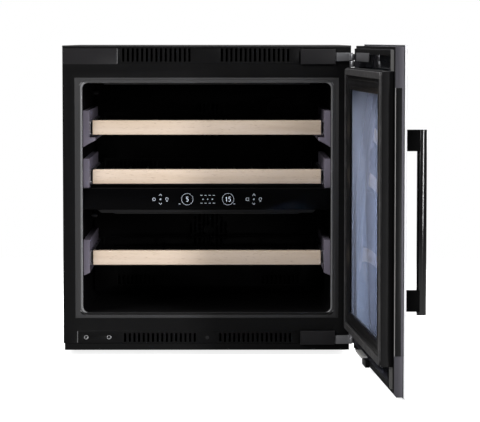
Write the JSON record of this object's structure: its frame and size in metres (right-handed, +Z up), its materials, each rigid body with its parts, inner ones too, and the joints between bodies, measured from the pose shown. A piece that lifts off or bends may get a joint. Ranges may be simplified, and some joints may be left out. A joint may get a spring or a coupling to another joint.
{
  "type": "wine cooler",
  "caption": "Built-in two-zone wine cooler with a right-hinged glazed door, pull-out shelves with wooden fronts on telescopic slides and a touch control bar between the zones.",
  "frame": {"origin": "on the floor plane, under the middle of the cabinet's front plane", "axes": "+X to the right seen from the front, +Y from the front plane back into the cabinet, +Z up"},
  "size_m": [0.6557, 1.13, 0.6023],
  "materials": {
    "black_steel": "satin",
    "black_plastic": "satin",
    "cover_plastic": "satin",
    "liner_plastic": "satin",
    "rail_plastic": "satin",
    "bare_steel": "satin",
    "fastener_steel": "satin",
    "slide_steel": "satin",
    "foam": "matte",
    "galvanised_sheet": "satin",
    "foot_rubber": "matte",
    "control_glass": "gloss",
    "circuit_board": "satin",
    "evaporator_aluminium": "satin",
    "fan_plastic": "satin",
    "charcoal_filter": "matte",
    "led_diffuser": "satin",
    "probe_plastic": "satin",
    "compressor_paint": "satin",
    "copper": "satin",
    "beech": "satin",
    "rack_steel": "satin",
    "tinted_glass": "gloss",
    "clear_glass": "gloss",
    "door_frame_aluminium": "satin",
    "trim_black": "satin",
    "door_plastic": "satin",
    "spacer_aluminium": "satin",
    "gasket_rubber": "matte",
    "handle_black": "satin",
    "socket_plastic": "satin"
  },
  "bodies": {
    "cabinet": {"outer_shell": "black_steel", "front_frame": "black_plastic", "top_cap": "black_plastic", "top_grille": "black_plastic", "front_covers": "cover_plastic", "plinth_grille": "black_plastic", "base_pan": "black_steel", "cabinet_hinge_brackets": "bare_steel", "hinge_pins": "fastener_steel", "hinge_fasteners": "fastener_steel", "liner": "liner_plastic", "insulation": "foam", "bay_bulkhead": "galvanised_sheet", "rear_panels": "black_steel", "rear_feet": "foot_rubber", "rail_brackets": "rail_plastic", "slide_outer_members": "slide_steel", "zone_divider": "liner_plastic", "control_glass": "control_glass", "circuit_boards": "circuit_board", "back_panels": "black_plastic", "evaporators": "evaporator_aluminium", "circulation_fan_motors": "fan_plastic", "charcoal_filter": "charcoal_filter", "led_strips": "led_diffuser", "temperature_probes": "probe_plastic", "compressor": "compressor_paint", "compressor_grommets": "foot_rubber", "condenser": "evaporator_aluminium", "condenser_fan_shroud": "fan_plastic", "drain_tray": "black_plastic", "refrigerant_pipes": "copper", "power_inlet": "socket_plastic"},
    "door": {"door_glass": "tinted_glass", "door_outer_frame": "door_frame_aluminium", "door_side_trim": "trim_black", "door_inner_frame": "door_plastic", "door_panes": "clear_glass", "pane_spacer": "spacer_aluminium", "door_gasket": "gasket_rubber", "door_hinge_plates": "bare_steel", "handle_bar": "handle_black", "handle_standoffs": "handle_black"},
    "shelf_upper": {"shelf_board_upper": "beech", "shelf_rack_upper": "rack_steel", "slide_inner_upper": "slide_steel"},
    "slide_upper": {"slide_middle_upper": "slide_steel"},
    "shelf_centre": {"shelf_board_centre": "beech", "shelf_rack_centre": "rack_steel", "slide_inner_centre": "slide_steel"},
    "slide_centre": {"slide_middle_centre": "slide_steel"},
    "shelf_lower": {"shelf_board_lower": "beech", "shelf_rack_lower": "rack_steel", "slide_inner_lower": "slide_steel"},
    "slide_lower": {"slide_middle_lower": "slide_steel"},
    "upper_fan": {"upper_fan_rotor": "fan_plastic"},
    "lower_fan": {"lower_fan_rotor": "fan_plastic"},
    "condenser_fan": {"condenser_fan_rotor": "fan_plastic"},
    "left_foot": {"front_left_foot": "foot_rubber"},
    "right_foot": {"front_right_foot": "foot_rubber"}
  },
  "joints": [
    {"name": "door_hinge", "type": "hinge", "parent": "cabinet", "child": "door", "pos_m": [0.28, -0.0165, 0.3], "axis": [0, 0, 1], "range_deg": [-93.4, 16.6]},
    {"name": "shelf_upper_slide", "type": "slide", "parent": "cabinet", "child": "shelf_upper", "axis": [0, -1, 0], "range_m": [0, 0.26]},
    {"name": "slide_upper_slide", "type": "slide", "parent": "cabinet", "child": "slide_upper", "axis": [0, -1, 0], "range_m": [0, 0.13]},
    {"name": "shelf_centre_slide", "type": "slide", "parent": "cabinet", "child": "shelf_centre", "axis": [0, -1, 0], "range_m": [0, 0.26]},
    {"name": "slide_centre_slide", "type": "slide", "parent": "cabinet", "child": "slide_centre", "axis": [0, -1, 0], "range_m": [0, 0.13]},
    {"name": "shelf_lower_slide", "type": "slide", "parent": "cabinet", "child": "shelf_lower", "axis": [0, -1, 0], "range_m": [0, 0.26]},
    {"name": "slide_lower_slide", "type": "slide", "parent": "cabinet", "child": "slide_lower", "axis": [0, -1, 0], "range_m": [0, 0.13]},
    {"name": "upper_fan_spin", "type": "hinge", "parent": "cabinet", "child": "upper_fan", "pos_m": [0, 0.455, 0.44], "axis": [0, 1, 0], "continuous": true},
    {"name": "lower_fan_spin", "type": "hinge", "parent": "cabinet", "child": "lower_fan", "pos_m": [0, 0.36, 0.215], "axis": [0, 1, 0], "continuous": true},
    {"name": "condenser_fan_spin", "type": "hinge", "parent": "cabinet", "child": "condenser_fan", "pos_m": [0.1, 0.472, 0.105], "axis": [0, 1, 0], "continuous": true},
    {"name": "left_foot_turn", "type": "hinge", "parent": "cabinet", "child": "left_foot", "pos_m": [-0.26, 0.1, 0.01], "axis": [0, 0, 1], "range_deg": [-180, 180]},
    {"name": "right_foot_turn", "type": "hinge", "parent": "cabinet", "child": "right_foot", "pos_m": [0.26, 0.1, 0.01], "axis": [0, 0, 1], "range_deg": [-180, 180]}
  ],
  "couplings": [
    {"joint": "slide_upper_slide", "follows": "shelf_upper_slide", "ratio": 0.5},
    {"joint": "slide_centre_slide", "follows": "shelf_centre_slide", "ratio": 0.5},
    {"joint": "slide_lower_slide", "follows": "shelf_lower_slide", "ratio": 0.5}
  ]
}
